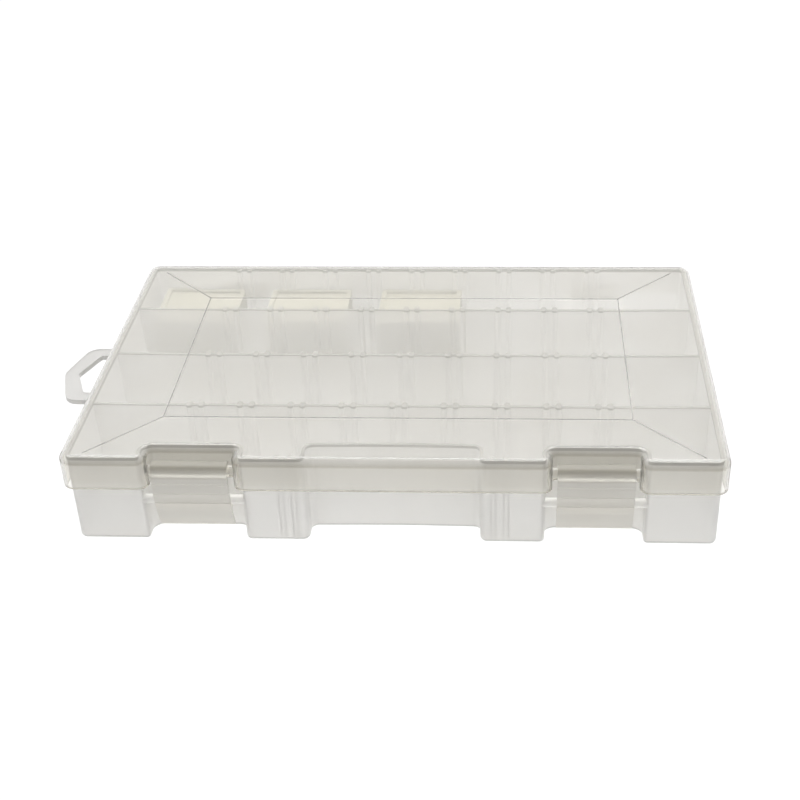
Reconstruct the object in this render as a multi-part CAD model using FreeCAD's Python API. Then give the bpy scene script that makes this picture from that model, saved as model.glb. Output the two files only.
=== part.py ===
"""Compartment storage box: base tray, hinged lid, two latches and loose dividers.

Millimetres. Origin at the middle of the underside, X to the right, Y to the back, Z up.
"""
import FreeCAD
import Part
import math
import os

V = FreeCAD.Vector

# Lid
LID_WIDTH = 355.6          # along X, outside
LID_DEPTH = 231.8          # along Y, outside
HEIGHT = 56.0              # closed box, floor to lid top
LID_WALL = 1.7             # skirt thickness
LID_TOP = 1.8              # top plate thickness at the rim
LID_CORNER_R = 7.5         # vertical corners, outside
LID_RIM_R = 4.2            # rounding of the top edge, outside
SKIRT_HEIGHT = 20.0        # lid top to skirt's lower edge
PANEL_DROP = 0.6           # middle panel below the rim
PANEL_INSET_X = 49.0       # lid's end to the panel's crease
PANEL_INSET_FRONT = 43.0   # lid's front to the panel's crease
PANEL_INSET_BACK = 47.3    # lid's back to the panel's crease
FRAME_INSET_X = 13.2       # lid's end to where the sloping frame starts
FRAME_INSET_FRONT = 5.0
FRAME_INSET_BACK = 12.5
CREASE_WIDTH = 0.8
CREASE_DEPTH = 0.3

# Latch notches in the lid
LATCH_FROM_END = 69.8      # lid's end to a latch's middle
NOTCH_WIDTH = 46.0
NOTCH_DEPTH = 13.0         # front edge to the notch's back wall
NOTCH_CORNER_R = 6.0       # outward corners, beside the notch
NOTCH_ROOT_R = 2.5         # inward corners, at the notch's back

# Base tray
LID_GAP = 2.0              # skirt to tray wall
LID_REST_GAP = 0.3         # tray rim to the lid's underside
WALL = 1.7
FLOOR = 2.0
FOOT_EDGE_R = 3.0          # rounding of the underside's edge
FRONT_FOOT = 34.8          # front foot, from a latch's pocket to the label recess
LABEL_RECESS_BOW = 1.2     # the recess wall's bow inwards
LABEL_CORNER_R = 4.0

# Compartments
PARTITION = 1.6            # wall between rows
BACK_ROW_SHORT = 2.7       # the back row is this much narrower than the middle rows
PARTITION_DROP = 1.0       # partition top below the tray rim
RIB_WIDTH = 3.4
RIB_DEPTH = 1.9
RIB_ROUND = 1.5
RIB_RISE = 0.8             # rib top above the partition top
RIB_TOP_R = 0.6
SLOT_WIDTH = 3.4           # between the two ribs of a pair
SLOT_PITCH = 28.6
SLOTS_EACH_SIDE = 4        # slots on each side of the middle one

# Hang loop on the left end
LOOP_REACH = 35.5          # tray end to the loop's tip
LOOP_SHOULDER = 27.0       # tray end to the loop's shoulders
LOOP_LENGTH = 61.4         # along Y
LOOP_Y = 6.9
LOOP_STRAP = 8.6
LOOP_THICK = 3.0
LOOP_SHOULDER_R = 9.0
LOOP_TIP_R = 12.0
LOOP_HOLE_SHARE = 0.7      # how far the strap's width tightens the hole's shoulders
LOOP_DROP = 0.6            # loop top below the skirt's lower edge

# Back hinge
HINGE_FROM_END = 60.8      # lid's end to a hinge's middle
HINGE_PIN_R = 1.6
HINGE_KNUCKLE_R = 3.4
HINGE_DROP = 3.9           # hinge axis below the skirt's lower edge
KNUCKLE_LENGTH = 30.0
EAR_WIDTH = 5.0
EAR_GUSSET = 7.0           # gusset height under an ear
SIDE_GAP = 0.4             # knuckle to ear
KNUCKLE_ROOT = 8.0         # height of a knuckle's root on the skirt
KNUCKLE_FLANK = 0.92       # half width of the root's foot, as a share of the knuckle's radius
KNUCKLE_SHOULDER = 0.3     # height of the root's foot above the axis, as a share of that radius
EAR_TOP = 0.88             # height of an ear's top above the axis, as a share of that radius
MOUTH_SHARE = 0.8          # mouth of an open knuckle, as a share of its pin

# Latches
RUNNING_GAP = 0.08         # pin to bore, radial
BAR_EMBED = 1.5            # how far a bar's ends are sunk into the walls beside it
LID_BAR_R = 2.3
LID_BAR_DROP = 10.0        # lid top to the bar's axis
LATCH_WIDTH = 41.0
LATCH_KNUCKLE_R = 4.4
LATCH_WALL = 1.8
LATCH_NOTCH_GAP = 3.1      # knuckle to the notch's back wall
LATCH_LENGTH = 36.0        # knuckle axis down to the tip
LATCH_TUCK = 5.1           # tip behind the knuckle's front
LATCH_BULGE = 2.4
LATCH_TIP_R = 1.2
GRIP_RIB_R = 0.8
GRIP_RIB_PROUD = 0.45
GRIP_RIB_DROPS = (7.0, 13.3, 19.6)        # below the knuckle axis
BASE_BAR_R = 2.6
BASE_BAR_DROP = 20.0       # lid bar's axis to base bar's axis
BASE_BAR_GAP = 0.5         # base bar to the latch's inner face
HOOK_GAP = 0.4
HOOK_THICK = 2.0
HOOK_REACH = 3.0           # hook past the front of the base bar

# Loose dividers
DIVIDER_FIT = 0.3          # divider end to wall
DIVIDER_DROP = 5.0         # divider top below the partition top, when set up
DIVIDER_THICK = 3.2
DIVIDER_WEB = 1.2
DIVIDER_FRAME = 3.0        # thick frame round the web
DIVIDER_CORNER_R = 2.0
STACK_SIZE = 12
STACK_SPACES = (5.9, 18.8, 20.5)          # free length to the left of each stack
STACK_SLACK = 2.6          # what a stack leaves free between the row's rib tips
STACK_GAP = 0.05           # between stacked dividers
REST_GAP = 0.2             # divider to what it rests on

# Worked out from the sizes above
SKIRT_FOOT = HEIGHT - SKIRT_HEIGHT
UNDERSIDE = HEIGHT - LID_TOP
TRAY_INSET = LID_WALL + LID_GAP
TRAY_TOP = UNDERSIDE - LID_REST_GAP
PARTITION_TOP = TRAY_TOP - PARTITION_DROP
TRAY_END = LID_WIDTH / 2 - TRAY_INSET
TRAY_BACK = LID_DEPTH / 2 - TRAY_INSET
ROW_PITCH = (TRAY_BACK - WALL + PARTITION / 2 + BACK_ROW_SHORT) / 2
LATCH_X = LID_WIDTH / 2 - LATCH_FROM_END
HINGE_X = LID_WIDTH / 2 - HINGE_FROM_END
LABEL_RECESS_WIDTH = 2 * (LATCH_X - NOTCH_WIDTH / 2 - TRAY_INSET - FRONT_FOOT)
FRONT_SLOT = round((LABEL_RECESS_WIDTH + FRONT_FOOT) / 2 / SLOT_PITCH)      # slot that the front feet carry
BACK_ROW = TRAY_BACK - WALL - ROW_PITCH - PARTITION / 2
DIVIDER_WIDTH = BACK_ROW - 2 * DIVIDER_FIT
DIVIDER_HEIGHT = min(PARTITION_TOP - FLOOR - DIVIDER_DROP, BACK_ROW - 2 * (RIB_DEPTH + REST_GAP) - STACK_SLACK)
NOTCH_Y = NOTCH_DEPTH - LID_DEPTH / 2
RECESS_Y = NOTCH_Y + TRAY_INSET
LID_BAR_Y = NOTCH_Y - LATCH_NOTCH_GAP - LATCH_KNUCKLE_R
LID_BAR_Z = HEIGHT - LID_BAR_DROP
BASE_BAR_Z = LID_BAR_Z - BASE_BAR_DROP
HINGE_Y = LID_DEPTH / 2 + HINGE_KNUCKLE_R
HINGE_Z = SKIRT_FOOT - HINGE_DROP
EMBED = 0.8                # how far a joined feature is sunk into its wall
OVERSHOOT = 1.0            # how far a cut runs past the surface that it opens
DISH_LIFT = 0.1            # how far the lid top's shallow cut starts above it


def rounded_wire(corners, z=0.0):
    """Closed wire at height z through (x, y, radius) corners, each rounded by an arc."""
    starts, middles, ends = [], [], []
    for i, (x, y, radius) in enumerate(corners):
        here = V(x, y, z)
        before = V(corners[i - 1][0], corners[i - 1][1], z) - here
        after = V(corners[(i + 1) % len(corners)][0], corners[(i + 1) % len(corners)][1], z) - here
        before.normalize()
        after.normalize()
        half = before.getAngle(after) / 2
        run = radius / math.tan(half)
        starts.append(here + before * run)
        ends.append(here + after * run)
        inward = before + after
        if inward.Length > 0:
            inward.normalize()
        middles.append(here + inward * (radius / math.sin(half) - radius))
    edges = []
    for i, (x, y, radius) in enumerate(corners):
        if radius > 0:
            edges.append(Part.Arc(starts[i], middles[i], ends[i]).toShape())
        following = starts[(i + 1) % len(corners)]
        if (following - ends[i]).Length > 1e-6:
            edges.append(Part.LineSegment(ends[i], following).toShape())
    return Part.Wire(edges)


def prism(corners, z0, z1):
    """Solid with a rounded outline from z0 up to z1."""
    return Part.Face(rounded_wire(corners, z0)).extrude(V(0, 0, z1 - z0))


def box(x0, x1, y0, y1, z0, z1):
    return Part.makeBox(x1 - x0, y1 - y0, z1 - z0, V(x0, y0, z0))


def rod(radius, x0, x1, y, z):
    """Cylinder along X."""
    return Part.makeCylinder(radius, x1 - x0, V(x0, y, z), V(1, 0, 0))


def profile_along_x(points, x0, x1):
    """Solid with a (y, z) polygon as its section, from x0 to x1."""
    loop = [V(x0, y, z) for y, z in points]
    return Part.Face(Part.makePolygon(loop + loop[:1])).extrude(V(x1 - x0, 0, 0))


def edges_at(shape, z):
    """Edges that lie wholly at height z."""
    return [e for e in shape.Edges if abs(e.BoundBox.ZMin - z) < 1e-6 and abs(e.BoundBox.ZMax - z) < 1e-6]


def front_recess(x, half_width, y_front, y_back, corner_r, root_r, bow=0.0, bow_r=0.0):
    """Corners of one recess in the front edge, from left to right."""
    corners = [(x - half_width, y_front, corner_r), (x - half_width, y_back, root_r)]
    if bow > 0:
        corners.append((x, y_back + bow, bow_r))
    return corners + [(x + half_width, y_back, root_r), (x + half_width, y_front, corner_r)]


def outline(inset, with_label_recess):
    """Plan outline of the lid, drawn in by inset; the tray adds the label recess."""
    half_x = LID_WIDTH / 2 - inset
    half_y = LID_DEPTH / 2 - inset
    corner_r = LID_CORNER_R - inset
    notch = (NOTCH_WIDTH / 2 + inset, -half_y, NOTCH_Y + inset, NOTCH_CORNER_R - inset, NOTCH_ROOT_R + inset)
    corners = [(-half_x, -half_y, corner_r)]
    corners += front_recess(-LATCH_X, *notch)
    if with_label_recess:
        tray_inset = inset - TRAY_INSET
        half_width = LABEL_RECESS_WIDTH / 2 + tray_inset
        bow_half_turn = math.atan2(LABEL_RECESS_BOW, half_width)
        bow_run = half_width - 3 * LABEL_CORNER_R
        corners += front_recess(0.0, half_width, -half_y, RECESS_Y + tray_inset, LABEL_CORNER_R - tray_inset,
                                LABEL_CORNER_R + tray_inset, LABEL_RECESS_BOW, bow_run / math.tan(bow_half_turn))
    corners += front_recess(LATCH_X, *notch)
    return corners + [(half_x, -half_y, corner_r), (half_x, half_y, corner_r), (-half_x, half_y, corner_r)]


def rectangle_wire(inset_x, inset_front, inset_back, z):
    """Rectangle on the lid at height z, drawn in from the lid's ends, front and back."""
    half_x = LID_WIDTH / 2 - inset_x
    front = inset_front - LID_DEPTH / 2
    back = LID_DEPTH / 2 - inset_back
    loop = [V(-half_x, front, z), V(half_x, front, z), V(half_x, back, z), V(-half_x, back, z)]
    return Part.makePolygon(loop + loop[:1])


def crease(start, end):
    """V groove from start to end, to be cut out of the lid's top."""
    run = end - start
    across = V(-run.y, run.x, 0).normalize() * CREASE_WIDTH
    above = V(0, 0, CREASE_DEPTH)
    loop = [start + across + above, start - above, start - across + above]
    return Part.Face(Part.makePolygon(loop + loop[:1])).extrude(run)


def lid_dish():
    """What the sloping frame and the lowered middle panel take out of the lid's top."""
    panel = (PANEL_INSET_X, PANEL_INSET_FRONT, PANEL_INSET_BACK)
    frame = (FRAME_INSET_X, FRAME_INSET_FRONT, FRAME_INSET_BACK)
    wider = [outer - (inner - outer) * DISH_LIFT / PANEL_DROP for inner, outer in zip(panel, frame)]
    return Part.makeLoft([rectangle_wire(*wider, HEIGHT + DISH_LIFT), rectangle_wire(*panel, HEIGHT - PANEL_DROP)], True, True)


def lid_creases():
    """Grooves along the panel's edge and out towards the lid's corners."""
    panel = rectangle_wire(PANEL_INSET_X, PANEL_INSET_FRONT, PANEL_INSET_BACK, HEIGHT - PANEL_DROP)
    frame = rectangle_wire(FRAME_INSET_X, FRAME_INSET_FRONT, FRAME_INSET_BACK, HEIGHT)
    inner = [v.Point for v in panel.OrderedVertexes]
    outer = [v.Point for v in frame.OrderedVertexes]
    grooves = []
    for i in range(4):
        grooves.append(crease(inner[i], inner[(i + 1) % 4]))
        grooves.append(crease(inner[i], outer[i]))
    return grooves


def knuckle(x, length, y, z, outer_r, pin_r, mouth, root):
    """Open knuckle that snaps over a pin along X, with its root solid and its mouth cut out."""
    x0 = x - length / 2
    x1 = x + length / 2
    bore_r = pin_r + RUNNING_GAP
    half_mouth = MOUTH_SHARE * pin_r
    reach = 2 * outer_r
    solid = rod(outer_r, x0, x1, y, z).fuse(root)
    solid = solid.cut(rod(bore_r, x0, x1, y, z))
    if mouth == "down":
        return solid.cut(box(x0, x1, y - half_mouth, y + half_mouth, z - reach, z))
    return solid.cut(box(x0, x1, y, y + reach, z - half_mouth, z + half_mouth))


def lid_hinge_knuckle(x):
    skirt = LID_DEPTH / 2 - EMBED
    flank = HINGE_KNUCKLE_R * KNUCKLE_FLANK
    shoulder = HINGE_Z + HINGE_KNUCKLE_R * KNUCKLE_SHOULDER
    section = [(skirt, SKIRT_FOOT + KNUCKLE_ROOT), (skirt, SKIRT_FOOT + EMBED / 2),
               (HINGE_Y - flank, shoulder), (HINGE_Y + flank, shoulder)]
    root = profile_along_x(section, x - KNUCKLE_LENGTH / 2, x + KNUCKLE_LENGTH / 2)
    return knuckle(x, KNUCKLE_LENGTH, HINGE_Y, HINGE_Z, HINGE_KNUCKLE_R, HINGE_PIN_R, "down", root)


def make_lid():
    shell = prism(outline(0, False), SKIRT_FOOT, HEIGHT)
    shell = shell.makeFillet(LID_RIM_R, edges_at(shell, HEIGHT))
    cavity = prism(outline(LID_WALL, False), SKIRT_FOOT - OVERSHOOT, UNDERSIDE)
    cavity = cavity.makeFillet(LID_RIM_R - LID_WALL, edges_at(cavity, UNDERSIDE))
    shell = shell.cut([cavity, lid_dish()] + lid_creases())
    added = [lid_hinge_knuckle(x) for x in (-HINGE_X, HINGE_X)]
    half_bar = NOTCH_WIDTH / 2 + BAR_EMBED
    for x in (-LATCH_X, LATCH_X):
        added.append(rod(LID_BAR_R, x - half_bar, x + half_bar, LID_BAR_Y, LID_BAR_Z))
    return shell.fuse(added).removeSplitter()


def rib(y0, y1, root_round):
    """Divider rib at x = 0 from y0 to its tip y1, with a softened top."""
    half = RIB_WIDTH / 2
    root_r = RIB_ROUND if root_round else 0
    corners = [(-half, y0, root_r), (half, y0, root_r), (half, y1, RIB_ROUND), (-half, y1, RIB_ROUND)]
    if y1 < y0:
        corners.reverse()
    top = PARTITION_TOP + RIB_RISE
    solid = prism(corners, FLOOR - EMBED, top)
    return solid.makeFillet(RIB_TOP_R, edges_at(solid, top))


def rib_pairs(pattern, slots):
    """Copies of a rib on both sides of each numbered slot."""
    offset = (SLOT_WIDTH + RIB_WIDTH) / 2
    copies = []
    for slot in slots:
        for side in (-offset, offset):
            copy = pattern.copy()
            copy.translate(V(slot * SLOT_PITCH + side, 0, 0))
            copies.append(copy)
    return copies


def partitions():
    """Three long walls with ribs on both faces, and the ribs on the tray's own walls."""
    slots = range(-SLOTS_EACH_SIDE, SLOTS_EACH_SIDE + 1)
    half_length = TRAY_END - WALL + EMBED
    pieces = []
    for row in (-1, 0, 1):
        y = row * ROW_PITCH
        half = PARTITION / 2
        pieces.append(box(-half_length, half_length, y - half, y + half, FLOOR - EMBED, PARTITION_TOP))
        pieces += rib_pairs(rib(y - half - RIB_DEPTH, y + half + RIB_DEPTH, True), slots)
    inner_back = TRAY_BACK - WALL
    pieces += rib_pairs(rib(inner_back + EMBED, inner_back - RIB_DEPTH, False), slots)
    pieces += rib_pairs(rib(-inner_back - EMBED, -inner_back + RIB_DEPTH, False), (-FRONT_SLOT, FRONT_SLOT))
    return pieces


def hang_loop():
    """Flat six-sided loop under the lid's edge."""
    top = SKIRT_FOOT - LOOP_DROP
    solids = []
    for inset in (0, LOOP_STRAP):
        root = -TRAY_END + EMBED + inset
        shoulder = -TRAY_END - LOOP_SHOULDER + inset
        half = LOOP_LENGTH / 2 - inset
        shoulder_r = LOOP_SHOULDER_R - inset * LOOP_HOLE_SHARE
        corners = [(root, LOOP_Y - half, 0), (root, LOOP_Y + half, 0), (shoulder, LOOP_Y + half, shoulder_r),
                   (-TRAY_END - LOOP_REACH + inset, LOOP_Y, LOOP_TIP_R - inset), (shoulder, LOOP_Y - half, shoulder_r)]
        corners.reverse()
        solids.append(prism(corners, top - LOOP_THICK - inset, top + inset))
    tray_end = box(-TRAY_END, 0, LOOP_Y - LOOP_LENGTH, LOOP_Y + LOOP_LENGTH, 0, HEIGHT)
    return solids[0].cut(solids[1].cut(tray_end))


def hinge_ears(x):
    """Two ears on the tray's back wall with a pin between them."""
    inner = KNUCKLE_LENGTH / 2 + SIDE_GAP
    outer = inner + EAR_WIDTH
    wall = TRAY_BACK - EMBED
    top = HINGE_Z + HINGE_KNUCKLE_R * EAR_TOP
    section = [(wall, top), (HINGE_Y, top),
               (HINGE_Y, HINGE_Z - HINGE_KNUCKLE_R), (wall, HINGE_Z - HINGE_KNUCKLE_R - EAR_GUSSET)]
    pieces = [rod(HINGE_PIN_R, x - outer, x + outer, HINGE_Y, HINGE_Z)]
    for x0, x1 in ((x - outer, x - inner), (x + inner, x + outer)):
        pieces.append(profile_along_x(section, x0, x1).fuse(rod(HINGE_KNUCKLE_R, x0, x1, HINGE_Y, HINGE_Z)))
    return pieces


def latch_arc():
    """Circle of the latch's outer face: centre and radius, with its upper and lower points."""
    upper = V(0, LID_BAR_Y - LATCH_KNUCKLE_R, LID_BAR_Z)
    lower = V(0, upper.y + LATCH_TUCK, LID_BAR_Z - LATCH_LENGTH)
    chord = lower - upper
    outward = V(0, chord.z, -chord.y).normalize()
    half = chord.Length / 2
    radius = (half ** 2 + LATCH_BULGE ** 2) / (2 * LATCH_BULGE)
    centre = (upper + lower) * 0.5 - outward * (radius - LATCH_BULGE)
    return centre, radius, upper, lower


def latch_face_y(z, depth):
    """Y of the latch's face at height z, depth behind its outer face."""
    centre, radius, upper, lower = latch_arc()
    return centre.y - math.sqrt((radius - depth) ** 2 - (z - centre.z) ** 2)


BASE_BAR_Y = latch_face_y(BASE_BAR_Z, LATCH_WALL) + BASE_BAR_GAP + BASE_BAR_R


def make_tray():
    shell = prism(outline(TRAY_INSET, True), 0, TRAY_TOP)
    shell = shell.makeFillet(FOOT_EDGE_R, edges_at(shell, 0))
    shell = shell.cut(prism(outline(TRAY_INSET + WALL, True), FLOOR, TRAY_TOP + OVERSHOOT))
    added = partitions() + [hang_loop()]
    for x in (-HINGE_X, HINGE_X):
        added += hinge_ears(x)
    half_bar = NOTCH_WIDTH / 2 + TRAY_INSET + BAR_EMBED
    for x in (-LATCH_X, LATCH_X):
        added.append(rod(BASE_BAR_R, x - half_bar, x + half_bar, BASE_BAR_Y, BASE_BAR_Z))
    return shell.fuse(added).removeSplitter()


def latch_plate(x0, x1):
    """Curved plate of a latch, from the knuckle down to the tip."""
    centre, radius, upper, lower = latch_arc()
    middle = centre + (upper + lower - centre * 2).normalize() * radius
    share = (radius - LATCH_WALL) / radius
    outer = [upper, middle, lower]
    inner = [centre + (p - centre) * share for p in outer]
    edges = [Part.Arc(*outer).toShape(), Part.LineSegment(lower, inner[2]).toShape(),
             Part.Arc(inner[2], inner[1], inner[0]).toShape(), Part.LineSegment(inner[0], upper).toShape()]
    plate = Part.Face(Part.Wire(edges))
    plate.translate(V(x0, 0, 0))
    return plate.extrude(V(x1 - x0, 0, 0))


def make_latch(x):
    x0 = x - LATCH_WIDTH / 2
    x1 = x + LATCH_WIDTH / 2
    lower = latch_arc()[3]
    root = latch_plate(x0, x1)
    latch = knuckle(x, LATCH_WIDTH, LID_BAR_Y, LID_BAR_Z, LATCH_KNUCKLE_R, LID_BAR_R, "back", root)
    added = [rod(LATCH_TIP_R, x0, x1, lower.y + LATCH_WALL / 2, lower.z)]
    for drop in GRIP_RIB_DROPS:
        z = LID_BAR_Z - drop
        added.append(rod(GRIP_RIB_R, x0, x1, latch_face_y(z, GRIP_RIB_R - GRIP_RIB_PROUD), z))
    hook_top = BASE_BAR_Z - BASE_BAR_R - HOOK_GAP
    hook_tip = BASE_BAR_Y - BASE_BAR_R + HOOK_REACH
    hook_root = latch_face_y(hook_top - HOOK_THICK, LATCH_WALL / 2)
    added.append(box(x0, x1, hook_root, hook_tip, hook_top - HOOK_THICK, hook_top))
    return latch.fuse(added).removeSplitter()


def make_divider():
    """One divider lying flat, its front edge on the X axis."""
    half = DIVIDER_WIDTH / 2
    plate = box(-half, half, 0, DIVIDER_HEIGHT, 0, DIVIDER_THICK)
    upright = [e for e in plate.Edges if abs(e.BoundBox.ZLength - DIVIDER_THICK) < 1e-6]
    plate = plate.makeFillet(DIVIDER_CORNER_R, upright)
    sunk = (DIVIDER_THICK - DIVIDER_WEB) / 2
    hollows = []
    for z0, z1 in ((-OVERSHOOT, sunk), (DIVIDER_THICK - sunk, DIVIDER_THICK + OVERSHOOT)):
        hollows.append(box(DIVIDER_FRAME - half, half - DIVIDER_FRAME,
                           DIVIDER_FRAME, DIVIDER_HEIGHT - DIVIDER_FRAME, z0, z1))
    return plate.cut(hollows)


def divider_stacks():
    """Stacks of flat dividers on the floor of the back row, against its back ribs."""
    front = TRAY_BACK - WALL - RIB_DEPTH - REST_GAP - DIVIDER_HEIGHT
    dividers = []
    start = -TRAY_END + WALL
    for space in STACK_SPACES:
        start += space
        for i in range(STACK_SIZE):
            divider = make_divider()
            divider.translate(V(start + DIVIDER_WIDTH / 2, front, FLOOR + REST_GAP + i * (DIVIDER_THICK + STACK_GAP)))
            dividers.append(divider)
        start += DIVIDER_WIDTH
    return dividers


parts = {
    "base_tray": make_tray(),
    "lid": make_lid(),
    "latch_left": make_latch(-LATCH_X),
    "latch_right": make_latch(LATCH_X),
}
for number, divider in enumerate(divider_stacks(), 1):
    parts["divider_%02d" % number] = divider

os.makedirs("parts", exist_ok=True)
for name, shape in parts.items():
    shape.exportStep("parts/%s.step" % name)
    box_now = shape.BoundBox
    print(name, len(shape.Solids), "solid", shape.isValid(), "%.0f mm3" % shape.Volume,
          "x %.1f %.1f  y %.1f %.1f  z %.1f %.1f" % (box_now.XMin, box_now.XMax, box_now.YMin, box_now.YMax,
                                                     box_now.ZMin, box_now.ZMax))
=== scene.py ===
"""Translucent compartment storage box: finishes, floor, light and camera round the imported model."""

import math

import bpy
from mathutils import Matrix, Vector

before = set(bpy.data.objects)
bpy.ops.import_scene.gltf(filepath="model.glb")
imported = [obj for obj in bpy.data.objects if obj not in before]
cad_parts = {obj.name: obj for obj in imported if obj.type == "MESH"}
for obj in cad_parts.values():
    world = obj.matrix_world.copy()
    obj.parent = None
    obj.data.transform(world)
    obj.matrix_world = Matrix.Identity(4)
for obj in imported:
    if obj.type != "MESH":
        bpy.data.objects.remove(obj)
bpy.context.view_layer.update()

# Camera, fitted to the photograph's outline of the box
CAMERA_PLACE = (0.063886, -0.711618, 0.459459)
CAMERA_PITCH = math.radians(34.0891)
CAMERA_YAW = math.radians(-3.4210)
CAMERA_ROLL = math.radians(-1.4248)
CAMERA_SHIFT = (-0.05523, 0.07783)
CAMERA_CLIP = (0.01, 50.0)
LENS = 62.256
SENSOR = 36.0

# Light
SKY_LIGHT = 0.64           # the world's strength on the box
SKY_SEEN = 0.97            # the world as it is seen or mirrored
LAMP_SIZE = 0.8
LAMP_POWER = 9.0
LAMPS = (("key", (-0.4, 0.4, 1.2)), ("back", (0.35, 0.5, 1.2)))

# Floor
FLOOR_SIZE = 40.0
FLOOR_HEIGHT = -0.0002
FLOOR_MATT = (0.8, 0.8, 0.8, 1.0)           # for the light that it sends back to the box
FLOOR_SHADOW = (0.16, 0.16, 0.16, 1.0)      # how strongly its shadow shows
FLOOR_GLOW = 0.88

# Light passes many thin walls on its way through the box
BOUNCES = 72
CLEAR_BOUNCES = 96
INDIRECT_CLAMP = 2.0

# Plastic
PLASTIC_IOR = 1.49
GLOSS_NOISE = (60.0, 4.0)  # scale and detail of the uneven gloss
GRAIN_NOISE = (900.0, 2.0)
GRAIN_DEPTH = 0.0004
CLOUD_NOISE = (22.0, 3.0)
NOISE_RANGE = (0.3, 0.7)   # where most of a noise lies
SHADE = (0.975, 0.975, 0.97)                # light that a wall lets through to a lamp's shadow
WHITE = (1.0, 1.0, 1.0)
BOX_HEIGHT = 56.0          # mm, the bands' scale
LOOP_START = (-0.177, -0.1735)              # where the hang loop leaves the tray's left end; the painted shade starts here

# Tints by height on the piece, in mm, some of them painted shade
LID_TOP = (0.985, 0.98, 0.968)
# Painted shade: the rounded rim is tinted darker, which also damps its highlight
LID_RIM_PAINTED_SHADE = (0.84, 0.83, 0.8)
LID_SKIRT = (0.95, 0.94, 0.91)
# Painted shade: thin dark lines at the skirt's foot and just under the rim, where the edges look dark through
# the plastic
LID_PAINTED_SHADE_LINE = (0.74, 0.72, 0.66)
LID_BANDS = ((36.0, LID_PAINTED_SHADE_LINE), (36.4, LID_PAINTED_SHADE_LINE), (36.9, LID_SKIRT), (50.9, LID_SKIRT),
             (51.2, LID_PAINTED_SHADE_LINE), (51.7, LID_PAINTED_SHADE_LINE), (52.8, LID_RIM_PAINTED_SHADE), (55.8, LID_TOP))
TRAY_FLOOR = (0.64, 0.637, 0.63)
TRAY_WALL = (0.955, 0.95, 0.94)
# Painted shade: a dark band along the tops of the partitions and the rim, where the edges look dark through the
# plastic
TRAY_TOP_PAINTED_SHADE = (0.42, 0.41, 0.38)
TRAY_BANDS = ((0.0, TRAY_FLOOR), (2.1, TRAY_FLOOR), (2.8, TRAY_WALL), (52.0, TRAY_WALL),
              (52.4, TRAY_TOP_PAINTED_SHADE), (54.0, TRAY_TOP_PAINTED_SHADE))
# Painted shade past the tray's left end, by the hang loop
TRAY_END_PAINTED_SHADE = (0.66, 0.657, 0.65)
LATCH_PLATE = (0.87, 0.86, 0.835)
# Painted shade: the latch's neck and barrel are tinted darker, which also damps the lamps' highlight on the
# barrel
LATCH_NECK_PAINTED_SHADE = (0.74, 0.725, 0.685)
LATCH_BARREL_PAINTED_SHADE = (0.46, 0.445, 0.4)
LATCH_BANDS = ((0.0, LATCH_PLATE), (42.0, LATCH_PLATE), (43.5, LATCH_NECK_PAINTED_SHADE), (47.0, LATCH_NECK_PAINTED_SHADE),
               (48.8, LATCH_BARREL_PAINTED_SHADE), (50.0, LATCH_BARREL_PAINTED_SHADE))


def make_camera():
    data = bpy.data.cameras.new("camera")
    data.lens = LENS
    data.sensor_width = SENSOR
    data.sensor_fit = "HORIZONTAL"
    data.shift_x, data.shift_y = CAMERA_SHIFT
    data.clip_start, data.clip_end = CAMERA_CLIP
    camera = bpy.data.objects.new("camera", data)
    turn = Matrix.Rotation(-CAMERA_YAW, 4, "Z") @ Matrix.Rotation(math.pi / 2 - CAMERA_PITCH, 4, "X")
    camera.matrix_world = Matrix.Translation(CAMERA_PLACE) @ turn @ Matrix.Rotation(CAMERA_ROLL, 4, "Z")
    bpy.context.scene.collection.objects.link(camera)
    bpy.context.scene.camera = camera


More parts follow.
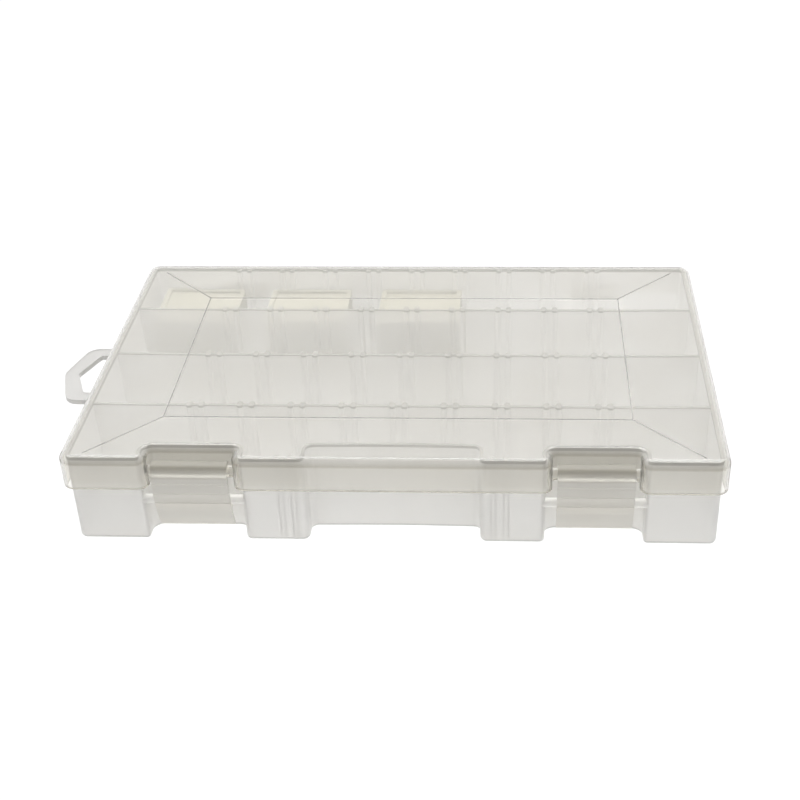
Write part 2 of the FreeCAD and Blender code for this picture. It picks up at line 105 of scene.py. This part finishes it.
class Tree:
    """Short calls for building a node tree."""

    def __init__(self, tree):
        self.tree = tree
        tree.nodes.clear()

    def add(self, kind, **settings):
        node = self.tree.nodes.new(kind)
        for name, value in settings.items():
            setattr(node, name, value)
        return node

    def put(self, socket, value):
        """Links an output to the socket, or sets the socket to a value."""
        if hasattr(value, "is_output"):
            self.tree.links.new(value, socket)
        else:
            socket.default_value = value

    def noise(self, scale, detail):
        where = self.add("ShaderNodeTexCoord").outputs["Object"]
        noise = self.add("ShaderNodeTexNoise")
        self.put(noise.inputs["Vector"], where)
        self.put(noise.inputs["Scale"], scale)
        self.put(noise.inputs["Detail"], detail)
        return noise.outputs["Fac"]

    def ramp(self, factor, low, high, start, end):
        ramp = self.add("ShaderNodeValToRGB")
        ramp.color_ramp.elements[0].position = start
        ramp.color_ramp.elements[0].color = (*low, 1.0)
        ramp.color_ramp.elements[1].position = end
        ramp.color_ramp.elements[1].color = (*high, 1.0)
        self.put(ramp.inputs["Fac"], factor)
        return ramp.outputs["Color"]

    def clouds(self, clear, dull):
        return self.ramp(self.noise(*CLOUD_NOISE), clear, dull, *NOISE_RANGE)

    def spread(self, factor, old_range, new_range):
        node = self.add("ShaderNodeMapRange")
        self.put(node.inputs["Value"], factor)
        self.put(node.inputs["From Min"], old_range[0])
        self.put(node.inputs["From Max"], old_range[1])
        self.put(node.inputs["To Min"], new_range[0])
        self.put(node.inputs["To Max"], new_range[1])
        return node.outputs["Result"]

    def times(self, first, second):
        node = self.add("ShaderNodeMix", data_type="RGBA", blend_type="MULTIPLY")
        self.put(node.inputs["Factor"], 1.0)
        self.put(node.inputs["A"], first)
        self.put(node.inputs["B"], second)
        return node.outputs["Result"]

    def mix(self, factor, first, second):
        node = self.add("ShaderNodeMixShader")
        self.put(node.inputs[0], factor)
        self.put(node.inputs[1], first)
        self.put(node.inputs[2], second)
        return node.outputs["Shader"]

    def seen_directly(self):
        """1 for camera, glossy and transmission rays, 0 for the light that reaches the box."""
        path = self.add("ShaderNodeLightPath")
        total = path.outputs["Is Camera Ray"]
        for kind in ("Is Glossy Ray", "Is Transmission Ray"):
            join = self.add("ShaderNodeMath", operation="MAXIMUM")
            self.put(join.inputs[0], total)
            self.put(join.inputs[1], path.outputs[kind])
            total = join.outputs["Value"]
        return total


def material(name):
    made = bpy.data.materials.new(name)
    made.use_nodes = True
    return made, Tree(made.node_tree)


def plastic(name, tint, see, rough, bump, murk, density, gloss=1.0, shade=SHADE):
    """Moulded translucent plastic: cloudy tint, uneven gloss, a faint grain, and darker where it is thick."""
    made, tree = material(name)
    shader = tree.add("ShaderNodeBsdfPrincipled")
    tree.put(shader.inputs["Base Color"], tint(tree))
    tree.put(shader.inputs["Roughness"], tree.spread(tree.noise(*GLOSS_NOISE), NOISE_RANGE, rough))
    tree.put(shader.inputs["IOR"], PLASTIC_IOR)
    tree.put(shader.inputs["Specular Tint"], (gloss, gloss, gloss, 1.0))
    tree.put(shader.inputs["Transmission Weight"], see)
    grain = tree.add("ShaderNodeBump")
    tree.put(grain.inputs["Strength"], bump)
    tree.put(grain.inputs["Distance"], GRAIN_DEPTH)
    tree.put(grain.inputs["Height"], tree.noise(*GRAIN_NOISE))
    tree.put(shader.inputs["Normal"], grain.outputs["Normal"])
    through = tree.add("ShaderNodeBsdfTransparent")
    tree.put(through.inputs["Color"], (*shade, 1.0))
    shadow = tree.add("ShaderNodeLightPath").outputs["Is Shadow Ray"]
    inside = tree.add("ShaderNodeVolumeAbsorption")
    tree.put(inside.inputs["Color"], (*murk, 1.0))
    tree.put(inside.inputs["Density"], density)
    out = tree.add("ShaderNodeOutputMaterial")
    tree.put(out.inputs["Surface"], tree.mix(shadow, shader.outputs["BSDF"], through.outputs["BSDF"]))
    tree.put(out.inputs["Volume"], inside.outputs["Volume"])
    return made


def cloudy(clear, dull):
    """A tint that drifts softly from one colour to the other."""
    return lambda tree: tree.clouds(clear, dull)


def banded(bands, drift, painted_end_shade=WHITE):
    """A cloudy tint that also changes with the height on the piece, by (height in mm, colour) pairs.

    The last argument paints shade: it darkens what stands out past the tray's left end.
    """
    def tint(tree):
        place = tree.add("ShaderNodeSeparateXYZ")
        tree.put(place.inputs["Vector"], tree.add("ShaderNodeTexCoord").outputs["Object"])
        ramp = tree.add("ShaderNodeValToRGB")
        stops = ramp.color_ramp.elements
        while len(stops) < len(bands):
            stops.new(0.5)
        for stop, (level, colour) in zip(stops, bands):
            stop.position = level / BOX_HEIGHT
            stop.color = (*colour, 1.0)
        tree.put(ramp.inputs["Fac"], tree.spread(place.outputs["Z"], (0.0, BOX_HEIGHT / 1000), (0.0, 1.0)))
        # Painted shade past the tray's left end
        along = tree.spread(place.outputs["X"], LOOP_START, (0.0, 1.0))
        end = tree.ramp(along, painted_end_shade, WHITE, 0.0, 1.0)
        return tree.times(tree.times(ramp.outputs["Color"], tree.clouds(WHITE, drift)), end)
    return tint


def dress():
    """Gives every node its plastic."""
    finishes = {
        "base_tray": plastic("tray_plastic", banded(TRAY_BANDS, (0.97, 0.968, 0.963), TRAY_END_PAINTED_SHADE),
                             see=0.6, rough=(0.31, 0.38), bump=0.03, murk=(0.8, 0.79, 0.77), density=45.0),
        "lid": plastic("lid_plastic", banded(LID_BANDS, (0.985, 0.982, 0.975)),
                       see=0.9, rough=(0.05, 0.1), bump=0.02, murk=(0.75, 0.735, 0.685), density=40.0,
                       gloss=0.65),
        "latch": plastic("latch_plastic", banded(LATCH_BANDS, (0.97, 0.965, 0.955)),
                         see=0.6, rough=(0.32, 0.4), bump=0.03, murk=(0.7, 0.68, 0.62), density=50.0,
                         gloss=0.4),
        "divider": plastic("divider_plastic", cloudy((0.5, 0.485, 0.415), (0.46, 0.445, 0.375)),
                           see=0.4, rough=(0.32, 0.4), bump=0.03, murk=(0.95, 0.94, 0.88), density=20.0,
                           shade=(0.992, 0.992, 0.988)),
    }
    for name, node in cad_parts.items():
        key = name if name in finishes else name.split("_")[0]
        node.data.materials.clear()
        node.data.materials.append(finishes[key])


def make_floor():
    """White floor that keeps a faint shadow where it is seen."""
    bpy.ops.mesh.primitive_plane_add(size=FLOOR_SIZE, location=(0, 0, FLOOR_HEIGHT))
    floor = bpy.context.object
    floor.name = "floor"
    made, tree = material("floor_white")
    matt = tree.add("ShaderNodeBsdfDiffuse")
    tree.put(matt.inputs["Color"], FLOOR_MATT)
    shadow = tree.add("ShaderNodeBsdfDiffuse")
    tree.put(shadow.inputs["Color"], FLOOR_SHADOW)
    glow = tree.add("ShaderNodeEmission")
    tree.put(glow.inputs["Strength"], FLOOR_GLOW)
    both = tree.add("ShaderNodeAddShader")
    tree.put(both.inputs[0], shadow.outputs["BSDF"])
    tree.put(both.inputs[1], glow.outputs["Emission"])
    out = tree.add("ShaderNodeOutputMaterial")
    tree.put(out.inputs["Surface"], tree.mix(tree.seen_directly(), matt.outputs["BSDF"], both.outputs["Shader"]))
    floor.data.materials.append(made)


def make_light():
    """White surroundings and two soft lamps above the back."""
    world = bpy.data.worlds.new("studio")
    world.use_nodes = True
    tree = Tree(world.node_tree)
    back = tree.add("ShaderNodeBackground")
    tree.put(back.inputs["Strength"], tree.spread(tree.seen_directly(), (0.0, 1.0), (SKY_LIGHT, SKY_SEEN)))
    out = tree.add("ShaderNodeOutputWorld")
    tree.put(out.inputs["Surface"], back.outputs["Background"])
    bpy.context.scene.world = world
    for name, place in LAMPS:
        data = bpy.data.lights.new(name, "AREA")
        data.energy = LAMP_POWER
        data.size = LAMP_SIZE
        lamp = bpy.data.objects.new(name, data)
        lamp.location = place
        lamp.rotation_euler = (-Vector(place)).to_track_quat("-Z", "Y").to_euler()
        bpy.context.scene.collection.objects.link(lamp)


make_camera()
dress()
make_floor()
make_light()

scene = bpy.context.scene
scene.view_settings.view_transform = "Standard"
scene.cycles.max_bounces = BOUNCES
scene.cycles.transmission_bounces = BOUNCES
scene.cycles.transparent_max_bounces = CLEAR_BOUNCES
scene.cycles.sample_clamp_indirect = INDIRECT_CLAMP
